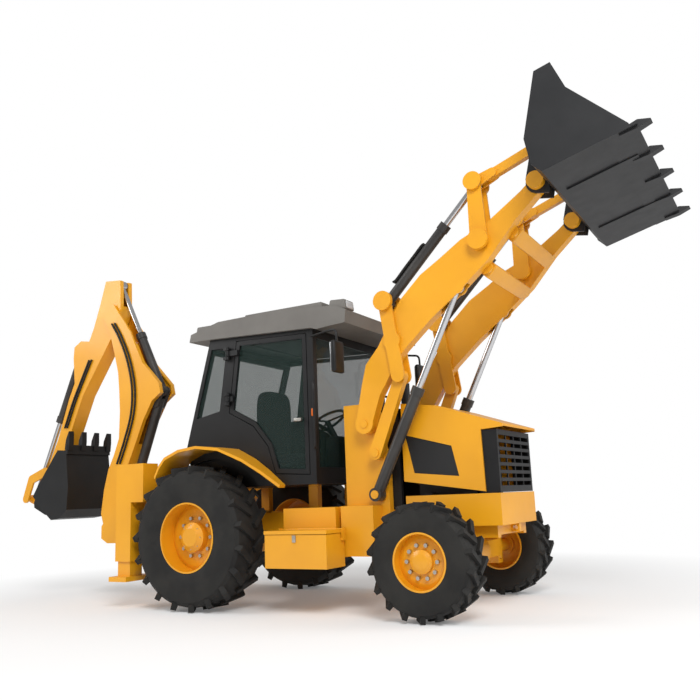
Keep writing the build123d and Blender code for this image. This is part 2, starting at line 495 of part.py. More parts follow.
def slide_frame():
    """Rear frame: two cross rails between the stabiliser sleeves, and the sliding legs with pads."""
    size, wall = LEG_SIZE, SLEEVE_WALL
    out = size / 2 + wall
    sleeve = block(LEG_X - out, LEG_X + out, LEG_Y - out, LEG_Y + out, 440, 1370)
    sleeve += block(LEG_X - out, -570, LEG_Y - out, LEG_Y + out, 1000, 1370)
    sleeve -= block(LEG_X - size / 2 - PIN_FIT, LEG_X + size / 2 + PIN_FIT, LEG_Y - size / 2 - PIN_FIT,
                    LEG_Y + size / 2 + PIN_FIT, 400, 1300)
    frame = pair(sleeve)
    for z0, z1 in ((500, 600), (1130, 1230)):
        frame += block(SLIDE_FACE, SLIDE_FACE + 90, -LEG_Y + out - 5, LEG_Y - out + 5, z0, z1)
    frame += pair(block(SLIDE_FACE + 40, FRAME_REAR - 0.2, RAIL_IN - 40, RAIL_OUT + 40, 500, 1230))
    leg = block(LEG_X - size / 2, LEG_X + size / 2, LEG_Y - size / 2, LEG_Y + size / 2, 300, 1090)
    leg += block(LEG_X - 130, LEG_X + 100, LEG_Y - 200, LEG_Y + 150, 255, 300)
    return {"slide_frame": frame, "stabiliser_left": leg, "stabiliser_right": mirror(leg, Plane.XZ)}


def backhoe():
    """Carriage, kingpost, boom, dipper and digging bucket with their cylinders, in the side-shifted place."""
    y = SHIFT_Y
    hole = HOE_PIN_R + PIN_FIT
    slide = 0.4
    face = SLIDE_FACE
    carriage = block(face - 60, face - slide, y - 270, y + 270, 440, 1290)
    for z0, z1 in ((430, 500 - slide), (600 + slide, 660), (1070, 1130 - slide), (1230 + slide, 1300)):
        carriage += block(face - 20, face + 34, y - 270, y + 270, z0, z1)
    for z0, z1 in ((470, 560), (690, 770)):
        carriage += block(KINGPOST_X, face - 50, y - 90, y + 90, z0, z1)
        carriage += upright(KINGPOST_X, y, 90, z0, z1)
    carriage -= upright(KINGPOST_X, y, 40 + PIN_FIT, 300, 1400)
    post = upright(KINGPOST_X, y, 95, 566, 684) + upright(KINGPOST_X, y, 40, 465, 775)
    cheek_in, cheek_out = BOOM_HALF + SIDE_GAP, BOOM_HALF + SIDE_GAP + 30
    post += block(-1470, -1300, y - cheek_out, y + cheek_out, 575, 682)
    for side in (-1, 1):
        y0, y1 = sorted((y + side * cheek_in, y + side * cheek_out))
        cheek = slab([(-1458, 580), (-1458, 778), (-1385, 788), (-1385, 935), (-1420, 968), (-1500, 968), (-1690, 760),
                      (-1690, 630), (-1600, 580)], y0, y1)
        y0, y1 = sorted((y + side * 36, y + side * cheek_out))
        cheek += across(BOOM_FOOT, 88, *sorted((y + side * cheek_in, y + side * cheek_out)))
        cheek += across(BOOM_RAM_FOOT, 56, y0, y1)
        post += cheek
    post -= slab([(-1480, 560), (-1700, 560), (-1760, 1100), (-1480, 1000)], y - cheek_in, y + cheek_in)
    post += across(BOOM_FOOT, HOE_PIN_R, y - cheek_out, y + cheek_out)

    left = [(-1650, 615), (-1740, 890), (-1702, 1148), (-1642, 1363), (-1560, 1520), (-1487, 1700), (-1479, 1993),
            (-1496, 2237), (-1518, 2435), (-1582, 2666), (-1650, 2875), (-1780, 3120)]
    right = [(-1610, 3235), (-1343, 2883), (-1153, 2514), (-905, 2260), (-880, 2150), (-1003, 2069), (-1128, 1868),
             (-1250, 1596), (-1345, 1400), (-1505, 1000), (-1530, 615)]
    outline = make_face(Polyline(*[(px, y - BOOM_HALF, pz) for px, pz in left + right], close=True))
    boom = extrude(outline, amount=2 * BOOM_HALF, dir=(0, 1, 0))
    core = extrude(offset(outline, amount=-14, kind=Kind.INTERSECTION), amount=2 * BOOM_HALF - 40, dir=(0, 1, 0))
    boom -= Pos(0, 20, 0) * core
    boom += across(BOOM_FOOT, 85, y - BOOM_HALF, y + BOOM_HALF)
    gap = DIPPER_HALF + SIDE_GAP
    boom -= slab([(-1900, 2900), (-1420, 2780), (-1150, 2700), (-1300, 3500), (-1900, 3500)], y - gap, y + gap)
    boom -= slab([(-1120, 2120), (-1180, 2330), (-1310, 2800), (-1000, 3000), (-700, 2500), (-700, 1950), (-960, 1900),
                  (-1120, 1800), (-1100, 2050)], y - 70, y + 70)
    boom -= strap(BOOM_EAR, toward(BOOM_EAR, BOOM_RAM_FOOT, 900), 80, 70, y - 72, y + 72)
    boom += across(BOOM_EAR, HOE_PIN_R, y - BOOM_HALF, y + BOOM_HALF)
    boom += across(BOOM_TOP, HOE_PIN_R, y - BOOM_HALF, y + BOOM_HALF)
    boom -= across(BOOM_FOOT, hole, y - 300, y + 300)

    d_left = [(-1775, 3545), (-1856, 3291), (-1955, 3021), (-2342, 2221), (-2513, 1752), (-2715, 1360), (-2768, 1140)]
    d_right = [(-2655, 1105), (-2540, 1330), (-2290, 1840), (-2110, 2240), (-1640, 2900), (-1530, 3180), (-1540, 3520)]
    outline = make_face(Polyline(*[(px, y - DIPPER_HALF, pz) for px, pz in d_left + d_right], close=True))
    dipper = extrude(outline, amount=2 * DIPPER_HALF, dir=(0, 1, 0))
    core = extrude(offset(outline, amount=-14, kind=Kind.INTERSECTION), amount=2 * DIPPER_HALF - 36, dir=(0, 1, 0))
    dipper -= Pos(0, 18, 0) * core
    for point, r in ((BOOM_TOP, 70), (DIG_PIVOT, 62), (LEVER_PIN, 52)):
        dipper += across(point, r, y - DIPPER_HALF, y + DIPPER_HALF)
        dipper -= across(point, hole, y - 200, y + 200)
    dipper -= slab([(-1680, 3600), (-1692, 3400), (-1640, 3320), (-1560, 3240), (-1400, 3100), (-1300, 3600)],
                   y - 40, y + 40)
    for side in (-1, 1):
        y0, y1 = sorted((y + side * 54, y + side * 80))
        dipper += slab([(-1990, 2860), (-2180, 2890), (-2290, 2830), (-2300, 2700), (-2270, 2400), (-2200, 2400)], y0, y1)
    dipper += across(RAM_EAR, HOE_PIN_R, y - 80, y + 80)

    boom_barrel, boom_rod = ram(BOOM_EAR, BOOM_RAM_FOOT, y, 52, 30, 960, 56, 60, HOE_PIN_R, 52)
    dip_barrel, dip_rod = ram(BOOM_EAR, DIPPER_EAR, y, 50, 28, 760, 56, 60, HOE_PIN_R, 58, 82.0)
    dig_barrel, dig_rod = ram(RAM_EAR, ROD_PIN, y, 46, 28, 900, 96, 60, HOE_PIN_R, 50)
    fork = None
    for side in (-1, 1):
        y0, y1 = sorted((y + side * 33, y + side * 58))
        cheek = strap(BOOM_EAR, toward(BOOM_EAR, BOOM_RAM_FOOT, 150), 58, 45, y0, y1)
        fork = cheek if fork is None else fork + cheek
    boom_barrel = boom_barrel - across(BOOM_EAR, 90, y - 33, y + 33) + fork
    boom_barrel -= across(BOOM_EAR, hole, y - 80, y + 80)

    lever = None
    link = None
    lever_in = DIPPER_HALF + 2 * SIDE_GAP + 24
    bend = (-2890, 1310)
    for side in (-1, 1):
        y0, y1 = sorted((y + side * lever_in, y + side * (lever_in + 22)))
        cheek = strap(LEVER_PIN, bend, 50, 50, y0, y1) + strap(bend, ROD_PIN, 50, 46, y0, y1)
        y0, y1 = sorted((y + side * 36, y + side * (lever_in + 22)))
        cheek += across(ROD_PIN, HOE_PIN_R, y0, y1)
        lever = cheek if lever is None else lever + cheek
        y0, y1 = sorted((y + side * 36, y + side * 60))
        cheek = strap(ROD_PIN, DIG_CRANK, 46, 40, y0, y1)
        cheek -= across(ROD_PIN, hole, y - 200, y + 200)
        link = cheek if link is None else link + cheek
    lever += across(LEVER_PIN, HOE_PIN_R, y - lever_in - 22, y + lever_in + 22)
    link += across(DIG_CRANK, 40, y - 60, y + 60)

    side_pts = [(-2110, 1600), (-2060, 1200), (-2075, 950), (-2180, 860), (-2324, 843), (-2500, 975), (-2640, 1110),
                (-2560, 1230), (-2250, 1610)]
    inner = [(-2124, 1600), (-2076, 1200), (-2090, 960), (-2188, 876), (-2319, 860), (-2490, 988), (-2900, 1400),
             (-2600, 2000)]
    bucket = slab(side_pts, y - DIG_HALF, y + DIG_HALF) - slab(inner, y - DIG_HALF + 16, y + DIG_HALF - 16)
    bucket += slab([(-2124, 1560), (-2085, 1560), (-2086, 1660), (-2106, 1665)], y - DIG_HALF, y + DIG_HALF)
    pitch = (2 * DIG_HALF - 70) / (DIG_TEETH - 1)
    for number in range(DIG_TEETH):
        ty = y - DIG_HALF + 35 + number * pitch
        bucket += slab([(-2135, 1610), (-2072, 1600), (-2062, 1700), (-2066, 1812), (-2076, 1812), (-2120, 1720)],
                       ty - 32, ty + 32)
    for side in (-1, 1):
        y0, y1 = sorted((y + side * (DIPPER_HALF + SIDE_GAP), y + side * (DIPPER_HALF + SIDE_GAP + 24)))
        ear = slab([(-2450, 950), (-2560, 890), (-2660, 900), (-2850, 985), (-2860, 1040), (-2790, 1180), (-2710, 1205),
                    (-2640, 1190), (-2560, 1060), (-2470, 985)], y0, y1)
        bucket += ear
    bucket += slab([(-2480, 958), (-2600, 1060), (-2585, 1075), (-2465, 976)], y - DIG_HALF, y + DIG_HALF)
    bucket += across(DIG_PIVOT, HOE_PIN_R, y - DIPPER_HALF - 30, y + DIPPER_HALF + 30)
    return {"carriage": carriage, "kingpost": post, "boom": boom, "dipper": dipper,
            "boom_barrel": boom_barrel, "boom_rod": boom_rod, "dipper_barrel": dip_barrel, "dipper_rod": dip_rod,
            "dig_barrel": dig_barrel, "dig_rod": dig_rod, "dig_lever": lever, "dig_link": link, "dig_bucket": bucket}


def build():
    parts = {}
    for group in (wheels, axles, chassis, front_body, cab, side_pieces, loader, slide_frame, backhoe):
        parts.update(group())
    return {name: Pos(-ORIGIN_X, 0, 0) * shape for name, shape in parts.items()}


if __name__ == "__main__":
    for name, shape in build().items():
        export_step(shape, f"parts/{name}.step")
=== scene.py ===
import json
import math

import bmesh
import bpy
from mathutils import Matrix, Vector

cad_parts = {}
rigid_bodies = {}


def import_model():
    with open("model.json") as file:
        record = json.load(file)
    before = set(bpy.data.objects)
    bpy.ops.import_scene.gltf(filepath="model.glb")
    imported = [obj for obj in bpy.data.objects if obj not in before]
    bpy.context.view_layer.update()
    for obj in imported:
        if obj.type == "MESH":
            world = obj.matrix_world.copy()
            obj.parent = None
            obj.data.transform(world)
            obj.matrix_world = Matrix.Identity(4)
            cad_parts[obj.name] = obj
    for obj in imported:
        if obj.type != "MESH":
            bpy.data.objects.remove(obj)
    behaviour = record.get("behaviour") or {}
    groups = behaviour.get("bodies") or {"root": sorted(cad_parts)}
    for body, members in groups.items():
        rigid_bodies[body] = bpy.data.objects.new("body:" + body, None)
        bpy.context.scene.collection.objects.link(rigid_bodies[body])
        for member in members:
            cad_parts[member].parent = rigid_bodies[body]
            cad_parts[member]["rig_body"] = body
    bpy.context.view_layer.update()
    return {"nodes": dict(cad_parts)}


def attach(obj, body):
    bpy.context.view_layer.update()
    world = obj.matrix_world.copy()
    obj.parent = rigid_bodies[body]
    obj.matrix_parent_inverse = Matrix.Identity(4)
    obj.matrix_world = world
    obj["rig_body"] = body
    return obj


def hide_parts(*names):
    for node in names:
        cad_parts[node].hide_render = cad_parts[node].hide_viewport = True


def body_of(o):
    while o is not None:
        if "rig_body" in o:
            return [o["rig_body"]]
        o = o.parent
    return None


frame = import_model()

# Ladder frame and loader towers: welded plate, sprayed yellow with the axles and knuckles bolted under it.
# The enamel is a thick glossy coat with a slightly patchy tone and a little orange peel.
YELLOW, YELLOW_SHADE = (0.84, 0.380, 0.008), (0.77, 0.335, 0.007)
# shares of a noise at which a blend of two colours begins and ends
BLEND_LOW, BLEND_HIGH = 0.35, 0.65
BUMP_DEPTH = 0.002
# edges sharper than this stay crisp; corners closer than this are one
SMOOTH_ANGLE, MERGE_GAP = math.radians(32), 0.00002


def new_finish(name, colour, roughness, metallic=0.0):
    """An empty finish: its material and its surface shader."""
    material = bpy.data.materials.new(name)
    material.use_nodes = True
    shader = material.node_tree.nodes["Principled BSDF"]
    shader.inputs["Base Color"].default_value = (*colour, 1)
    shader.inputs["Roughness"].default_value = roughness
    shader.inputs["Metallic"].default_value = metallic
    return material, shader


def cloud(material, scale, detail=3.0):
    """Soft noise fixed to the piece, as a socket from 0 to 1."""
    nodes = material.node_tree.nodes
    place = nodes.new("ShaderNodeTexCoord")
    noise = nodes.new("ShaderNodeTexNoise")
    noise.inputs["Scale"].default_value = scale
    noise.inputs["Detail"].default_value = detail
    material.node_tree.links.new(place.outputs["Object"], noise.inputs["Vector"])
    return noise.outputs["Fac"]


def blend_colours(material, shader, share, first, second):
    """Lets the surface colour go from first to second with the share."""
    ramp = material.node_tree.nodes.new("ShaderNodeValToRGB")
    ramp.color_ramp.elements[0].position = BLEND_LOW
    ramp.color_ramp.elements[1].position = BLEND_HIGH
    ramp.color_ramp.elements[0].color = (*first, 1)
    ramp.color_ramp.elements[1].color = (*second, 1)
    material.node_tree.links.new(share, ramp.inputs["Fac"])
    material.node_tree.links.new(ramp.outputs["Color"], shader.inputs["Base Color"])


def vary(material, shader, share, socket, low, high):
    """Lets a shader value run from low to high with the share."""
    spread = material.node_tree.nodes.new("ShaderNodeMapRange")
    spread.inputs["To Min"].default_value = low
    spread.inputs["To Max"].default_value = high
    material.node_tree.links.new(share, spread.inputs["Value"])
    material.node_tree.links.new(spread.outputs["Result"], shader.inputs[socket])


def emboss(material, shader, height, strength):
    """Presses a height pattern into the surface."""
    bump = material.node_tree.nodes.new("ShaderNodeBump")
    bump.inputs["Strength"].default_value = strength
    bump.inputs["Distance"].default_value = BUMP_DEPTH
    material.node_tree.links.new(height, bump.inputs["Height"])
    material.node_tree.links.new(bump.outputs["Normal"], shader.inputs["Normal"])


def enamel(name, colour, shade, roughness):
    """Sprayed enamel: patchy tone, orange peel and a clear top coat."""
    material, shader = new_finish(name, colour, roughness)
    blend_colours(material, shader, cloud(material, 1.7), colour, shade)
    vary(material, shader, cloud(material, 6.0), "Roughness", roughness - 0.06, roughness + 0.12)
    emboss(material, shader, cloud(material, 380.0, detail=1.0), strength=0.05)
    shader.inputs["Coat Weight"].default_value = 0.25
    shader.inputs["Coat Roughness"].default_value = 0.12
    return material


def show(name, mesh, finish, body, *stands_for):
    """Makes the mesh a piece that rides on the body and stands for these pieces of the frame."""
    bmesh.ops.recalc_face_normals(mesh, faces=mesh.faces)
    for face in mesh.faces:
        face.smooth = True
    for edge in mesh.edges:
        edge.smooth = len(edge.link_faces) == 2 and edge.calc_face_angle(0.0) < SMOOTH_ANGLE
    data = bpy.data.meshes.new(name)
    mesh.to_mesh(data)
    mesh.free()
    data.materials.append(finish)
    piece = bpy.data.objects.new(name, data)
    bpy.context.scene.collection.objects.link(piece)
    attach(piece, body)
    if stands_for:
        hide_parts(*stands_for)
    return piece


def dress(finish, *nodes):
    """Stands a smooth shaded copy in this finish for each of these pieces of the frame."""
    for name in nodes:
        node = frame["nodes"][name]
        mesh = bmesh.new()
        mesh.from_mesh(node.data)
        mesh.transform(node.matrix_world)
        bmesh.ops.remove_doubles(mesh, verts=mesh.verts, dist=MERGE_GAP)
        show(name + "_skin", mesh, finish, body_of(node)[0], name)


yellow = enamel("yellow_enamel", YELLOW, YELLOW_SHADE, roughness=0.36)
dress(yellow, "main_frame", "axles", "knuckle_left", "knuckle_right", "tanks", "slide_frame",
      "stabiliser_left", "stabiliser_right")

# Wheels: pressed steel rims in yellow with a ring of zinc nuts, black tyres with two rows of slanted bars.
# The rubber is matt; the bars stand on the carcass and reach out to the tyre's radius.
RUBBER, RUBBER_DUST = (0.013, 0.0125, 0.012), (0.022, 0.021, 0.019)
ZINC = (0.50, 0.48, 0.44)
# sizes are in millimetres from the rear axle; the frame is in metres, its origin this far ahead of the axle
MM_PER_M, ORIGIN_X = 1000, 664.5
SIDES = (("left", 1), ("right", -1))
BAR_DEPTH, BAR_SLANT, BAR_TOP_DROP = 36.0, math.radians(36), 7.0
# foot of a bar as a share of the wall, its middle and its length as shares of the width, shift of a row in steps
BAR_FOOT, BAR_MIDDLE, BAR_LENGTH, ROW_SHIFT = 0.86, 0.235, 0.53, 0.25
TYRE_STEPS = 72
# count, radius and height of the nuts; how deep they sit in the wheel, and their corners
WHEEL_NUTS, HUB_BOLTS = (10, 17.0, 26.0), (8, 10.0, 10.0)
NUT_SUNK, NUT_CORNERS = 10.0, 6
# height share of the wall, width share
TYRE_WALL = [(0.0, 0.84), (0.28, 0.95), (0.55, 0.98), (0.84, 0.94), (0.95, 0.82), (1.0, 0.55)]
# end, axle x, half track, radius, width, rim radius, bars in a row, bar width,
# y of the nut face, nut circle, y of the bolt face, bolt circle
WHEELS = [("rear", 0.0, 885.0, 660.0, 440.0, 318.0, 19, 52.0, 924.0, 178.0, 1000.0, 106.0),
          ("front", 2330.0, 905.0, 460.0, 330.0, 226.0, 18, 40.0, 972.0, 130.0, 1004.0, 66.0)]


def at(x, y, z):
    """A point of the drawing as a point of the frame."""
    return Vector((x - ORIGIN_X, y, z)) / MM_PER_M


def rubber_finish():
    """Matt tyre rubber with a breath of dust."""
    material, shader = new_finish("tyre_rubber", RUBBER, roughness=0.72)
    blend_colours(material, shader, cloud(material, 5.0), RUBBER, RUBBER_DUST)
    shader.inputs["Specular IOR Level"].default_value = 0.3
    emboss(material, shader, cloud(material, 260.0, detail=2.0), strength=0.1)
    return material


def metal(name, colour, low, high, grain):
    """Bare metal with an uneven polish."""
    material, shader = new_finish(name, colour, low, metallic=1.0)
    vary(material, shader, cloud(material, grain), "Roughness", low, high)
    return material


def add_rod(mesh, start, end, radius, sides=24):
    """A round or many sided rod between two points of the drawing."""
    start, end, radius = at(*start), at(*end), radius / MM_PER_M
    along = end - start
    place = Matrix.Translation((start + end) / 2) @ along.to_track_quat("Z", "Y").to_matrix().to_4x4()
    bmesh.ops.create_cone(mesh, cap_ends=True, segments=sides, radius1=radius, radius2=radius, depth=along.length,
                          matrix=place)


def add_carcass(mesh, axle, y, radius, width, rim_radius):
    """The tyre without its bars, turned round the axle."""
    wall = radius - BAR_DEPTH - rim_radius
    line = [(rim_radius + up * wall, out * width / 2) for up, out in TYRE_WALL]
    line += [(r, -out) for r, out in reversed(line)]
    verts = [mesh.verts.new(at(axle + r, y + out, radius)) for r, out in line]
    edges = [mesh.edges.new((verts[i - 1], verts[i])) for i in range(len(verts))]
    bmesh.ops.spin(mesh, geom=verts + edges, cent=at(axle, y, radius), axis=(0, 1, 0), angle=math.tau,
                   steps=TYRE_STEPS, use_merge=True)


def add_bars(mesh, axle, y, radius, width, rim_radius, count, bar):
    """Two rows of slanted bars on the carcass, set half a step apart."""
    low = rim_radius + BAR_FOOT * (radius - BAR_DEPTH - rim_radius)
    high = radius - BAR_TOP_DROP
    for row in (1, -1):
        for index in range(count):
            turn = math.tau * (index + ROW_SHIFT * row) / count
            place = Matrix.Translation(at(axle, y, radius)) @ Matrix.Rotation(turn, 4, "Y")
            place @= Matrix.Translation(Vector(((low + high) / 2, row * width * BAR_MIDDLE, 0)) / MM_PER_M)
            place @= Matrix.Rotation(row * BAR_SLANT, 4, "X")
            size = Vector((high - low, width * BAR_LENGTH, bar)) / MM_PER_M
            place @= Matrix.Diagonal((*size, 1))
            bmesh.ops.create_cube(mesh, size=1.0, matrix=place)


def add_nuts(mesh, axle, radius, face, circle, nuts, side):
    """A ring of hexagon nuts on a wheel face."""
    count, size, proud = nuts
    for index in range(count):
        turn = math.tau * index / count
        x, z = axle + circle * math.cos(turn), radius + circle * math.sin(turn)
        add_rod(mesh, (x, side * (face - NUT_SUNK), z), (x, side * (face + proud), z), size, NUT_CORNERS)


rubber = rubber_finish()
zinc = metal("zinc_steel", ZINC, low=0.28, high=0.5, grain=60.0)
for end, axle, half_track, radius, width, rim_radius, count, bar, face, circle, bolt_face, bolt_circle in WHEELS:
    for name, side in SIDES:
        wheel = f"{end}_wheel_{name}"
        dress(yellow, f"{end}_rim_{name}")
        mesh = bmesh.new()
        add_carcass(mesh, axle, side * half_track, radius, width, rim_radius)
        add_bars(mesh, axle, side * half_track, radius, width, rim_radius, count, bar)
        show(f"{end}_tyre_{name}_skin", mesh, rubber, wheel, f"{end}_tyre_{name}")
        mesh = bmesh.new()
        add_nuts(mesh, axle, radius, face, circle, WHEEL_NUTS, side)
        add_nuts(mesh, axle, radius, bolt_face, bolt_circle, HUB_BOLTS, side)
        show(f"{end}_nuts_{name}", mesh, zinc, wheel)

# Engine and bonnet: cast engine, black cowl and grille, bonnet and nose pressed from sheet and sprayed yellow.
# A dark mesh panel is clipped into each bonnet window and lifts with the bonnet.
IRON, IRON_WORN = (0.030, 0.030, 0.031), (0.05, 0.048, 0.046)
BLACK, BLACK_WORN = (0.0065, 0.0065, 0.007), (0.010, 0.010, 0.0105)
# colour of the wire, and of the holes: the holes' colour is painted shade, the dark space behind the mesh
MESH_WIRE, PAINTED_HOLE_SHADE = (0.020, 0.020, 0.021), (0.002, 0.002, 0.002)
# checks in a metre of mesh; inner and outer y of the panels
MESH_SCALE, PANEL_IN, PANEL_OUT = 140.0, 434, 441
BONNET_WINDOW = [(1975, 1490), (2410, 1370), (2465, 1112), (2050, 1155)]


def satin_paint(name, colour, worn, roughness):
    """Satin paint with faint scuffs."""
    material, shader = new_finish(name, colour, roughness)
    blend_colours(material, shader, cloud(material, 3.0, detail=4.0), colour, worn)
    vary(material, shader, cloud(material, 8.0, detail=4.0), "Roughness", roughness - 0.05, roughness + 0.1)
    emboss(material, shader, cloud(material, 300.0, detail=1.0), strength=0.04)
    shader.inputs["Specular IOR Level"].default_value = 0.35
    return material


def wire_mesh():
    """Woven black mesh, as a fine check of black wire and holes painted near black as the shade behind them."""
    material, shader = new_finish("wire_mesh", MESH_WIRE, roughness=0.55)
    place = material.node_tree.nodes.new("ShaderNodeTexCoord")
    check = material.node_tree.nodes.new("ShaderNodeTexChecker")
    check.inputs["Scale"].default_value = MESH_SCALE
    check.inputs["Color1"].default_value = (*MESH_WIRE, 1)
    check.inputs["Color2"].default_value = (*PAINTED_HOLE_SHADE, 1)
    material.node_tree.links.new(place.outputs["Object"], check.inputs["Vector"])
    material.node_tree.links.new(check.outputs["Color"], shader.inputs["Base Color"])
    return material


def add_plate(mesh, outline, y_first, y_last):
    """A plate seen from the side: outline of x and z, between two y."""
    near = [mesh.verts.new(at(x, y_first, z)) for x, z in outline]
    far = [mesh.verts.new(at(x, y_last, z)) for x, z in outline]
    mesh.faces.new(near)
    mesh.faces.new(far)
    for i in range(len(outline)):
        mesh.faces.new((near[i - 1], near[i], far[i], far[i - 1]))


iron = satin_paint("engine_iron", IRON, IRON_WORN, roughness=0.6)
black = satin_paint("black_paint", BLACK, BLACK_WORN, roughness=0.4)
woven = wire_mesh()
dress(iron, "engine")
dress(yellow, "bonnet", "nose")
dress(black, "grille", "cowl")
mesh = bmesh.new()
for name, side in SIDES:
    add_plate(mesh, BONNET_WINDOW, side * PANEL_IN, side * PANEL_OUT)
show("bonnet_mesh", mesh, woven, "bonnet")

# Cab: black pressed steel shell with tinted glass and a grey moulded roof with steps and lamp pods on its eaves.
# The doors hang on two strap hinges each; mirrors sit on bent tubes at the front corners.
ROOF_GREY, ROOF_WORN = (0.150, 0.140, 0.128), (0.175, 0.165, 0.150)
TINT, TINT_ALPHA = (0.020, 0.040, 0.034), 0.36
AMBER, AMBER_WORN = (0.80, 0.16, 0.01), (0.7, 0.13, 0.01)
LENS, LENS_WORN = (0.55, 0.56, 0.57), (0.48, 0.49, 0.50)
SILVER = (0.75, 0.76, 0.77)
# outline of each eave moulding, the lamp pod last; their inner and outer y, their rounding
EAVE_STEPS = [[(-190, 2600), (-165, 2722), (140, 2718), (150, 2600)],
              [(150, 2600), (175, 2742), (410, 2738), (420, 2600)],
              [(420, 2600), (445, 2758), (1330, 2754), (1340, 2600)],
              [(1390, 2640), (1420, 2752), (1575, 2742), (1585, 2650)]]
EAVE_IN, EAVE_OUT, EAVE_ROUNDING = 560, 730, 14.0
# two corners and the rounding of each left hand box
ROOF_LAMP = ((1560, 585, 2660), (1586, 705, 2728), 8.0)
MIRROR_HEAD = ((1535, 777, 2045), (1585, 945, 2330), 20.0)
MIRROR_PANE = ((1528, 790, 2060), (1537, 932, 2315), 3.0)
SIGNAL_LAMP = ((1178, 695, 1705), (1212, 722, 1777), 8.0)
DOOR_HANDLE = ((1000, 712, 1668), (1082, 752, 1700), 9.0)
MIRROR_TUBE, RAIL_TUBE = 11.0, 12.0
MIRROR_ARM = [(1185, 692, 2450), (1330, 765, 2447), (1480, 840, 2440), (1550, 860, 2420), (1562, 862, 2320)]
GRAB_RAIL = [(1195, 694, 1420), (1222, 735, 1450), (1222, 738, 1700), (1222, 738, 1980), (1195, 694, 2010)]


def tinted_glass():
    """Green tinted pane, seen through and shiny."""
    material, shader = new_finish("tinted_glass", TINT, roughness=0.03)
    shader.inputs["Alpha"].default_value = TINT_ALPHA
    vary(material, shader, cloud(material, 4.0), "Roughness", 0.02, 0.06)
    return material


def soften(mesh, edges, rounding):
    """Rounds these edges."""
    bmesh.ops.bevel(mesh, geom=list(edges), offset=rounding / MM_PER_M, offset_type="OFFSET",
                    segments=3, profile=0.5, affect="EDGES", material=-1)


def add_box(mesh, low, high, rounding):
    """A box between two points of the drawing, its edges rounded."""
    low, high = at(*low), at(*high)
    size = Vector([abs(a - b) for a, b in zip(low, high)])
    place = Matrix.Translation((low + high) / 2) @ Matrix.Diagonal((*size, 1))
    verts = bmesh.ops.create_cube(mesh, size=1.0, matrix=place)["verts"]
    soften(mesh, {edge for vert in verts for edge in vert.link_edges}, rounding)


def add_sided_box(mesh, side, box):
    """A left hand box, or its mirror image where side is -1."""
    (x0, y0, z0), (x1, y1, z1), rounding = box
    add_box(mesh, (x0, side * y0, z0), (x1, side * y1, z1), rounding)


def add_tube(mesh, points, radius, steps=6, sides=12):
    """A tube along a smooth line through points of the drawing."""
    points = [at(*point) for point in points]
    points = [2 * points[0] - points[1]] + points + [2 * points[-1] - points[-2]]
    line = []
    for a, b, c, d in zip(points, points[1:], points[2:], points[3:]):
        for step in range(steps):
            t = step / steps
            square, cube = 2 * a - 5 * b + 4 * c - d, 3 * b - a - 3 * c + d
            line.append((2 * b + (c - a) * t + square * t ** 2 + cube * t ** 3) / 2)
    line.append(points[-2])
    rings, across = [], None
    for i, point in enumerate(line):
        along = (line[min(i + 1, len(line) - 1)] - line[max(i - 1, 0)]).normalized()
        across = across or along.orthogonal()
        across = (across - along * across.dot(along)).normalized()
        other = along.cross(across)
        ring = []
        for k in range(sides):
            turn = math.tau * k / sides
            out = across * math.cos(turn) + other * math.sin(turn)
            ring.append(mesh.verts.new(point + out * radius / MM_PER_M))
        rings.append(ring)
    for first, second in zip(rings, rings[1:]):
        for k in range(sides):
            mesh.faces.new((first[k - 1], first[k], second[k], second[k - 1]))
    mesh.faces.new(rings[0])
    mesh.faces.new(rings[-1])


def add_sided_tube(mesh, side, points, radius):
    """A left hand tube, or its mirror image where side is -1."""
    add_tube(mesh, [(x, side * y, z) for x, y, z in points], radius)


glass = tinted_glass()
moulded = satin_paint("roof_moulding", ROOF_GREY, ROOF_WORN, roughness=0.55)
amber = satin_paint("amber_lens", AMBER, AMBER_WORN, roughness=0.2)
silvering = metal("silvering", SILVER, low=0.03, high=0.08, grain=3.0)
lens = satin_paint("lamp_lens", LENS, LENS_WORN, roughness=0.15)
dress(black, "cab", "door_left", "door_right")
dress(glass, "cab_glass", "door_glass_left", "door_glass_right")
dress(moulded, "roof")
mesh = bmesh.new()
for outline in EAVE_STEPS:
    for name, side in SIDES:
        add_plate(mesh, outline, side * EAVE_IN, side * EAVE_OUT)
soften(mesh, mesh.edges, EAVE_ROUNDING)
show("eave_mouldings", mesh, moulded, "chassis")
mesh = bmesh.new()
for name, side in SIDES:
    add_sided_box(mesh, side, ROOF_LAMP)
show("roof_lamps", mesh, lens, "chassis")
mesh = bmesh.new()
for name, side in SIDES:
    add_sided_tube(mesh, side, MIRROR_ARM, MIRROR_TUBE)
    add_sided_box(mesh, side, MIRROR_HEAD)
    add_sided_tube(mesh, side, GRAB_RAIL, RAIL_TUBE)
show("mirrors_and_rails", mesh, black, "chassis")
mesh = bmesh.new()
for name, side in SIDES:
    add_sided_box(mesh, side, MIRROR_PANE)
show("mirror_glass", mesh, silvering, "chassis")
mesh = bmesh.new()
for name, side in SIDES:
    add_sided_box(mesh, side, SIGNAL_LAMP)
show("signal_lamps", mesh, amber, "chassis")
for name, side in SIDES:
    mesh = bmesh.new()
    add_sided_box(mesh, side, DOOR_HANDLE)
    show(f"door_handle_{name}", mesh, zinc, f"door_{name}")

# Operator station: sprung seat with foam cushions in black cloth, bolted to the cab floor.
# The console is moulded in black and carries a three spoke steering wheel on a leaning column.
CLOTH, CLOTH_WORN = (0.018, 0.018, 0.020), (0.030, 0.030, 0.032)
# fullness of the foam; squareness and cuts of a cushion
FOAM_FILL, CUSHION_POWER, CUSHION_CUTS = 0.6, 5, 9
SEAT = ((250, -250, 1260), (720, 250, 1420))
SEAT_BACK = ((180, -240, 1400), (330, 240, 2080))
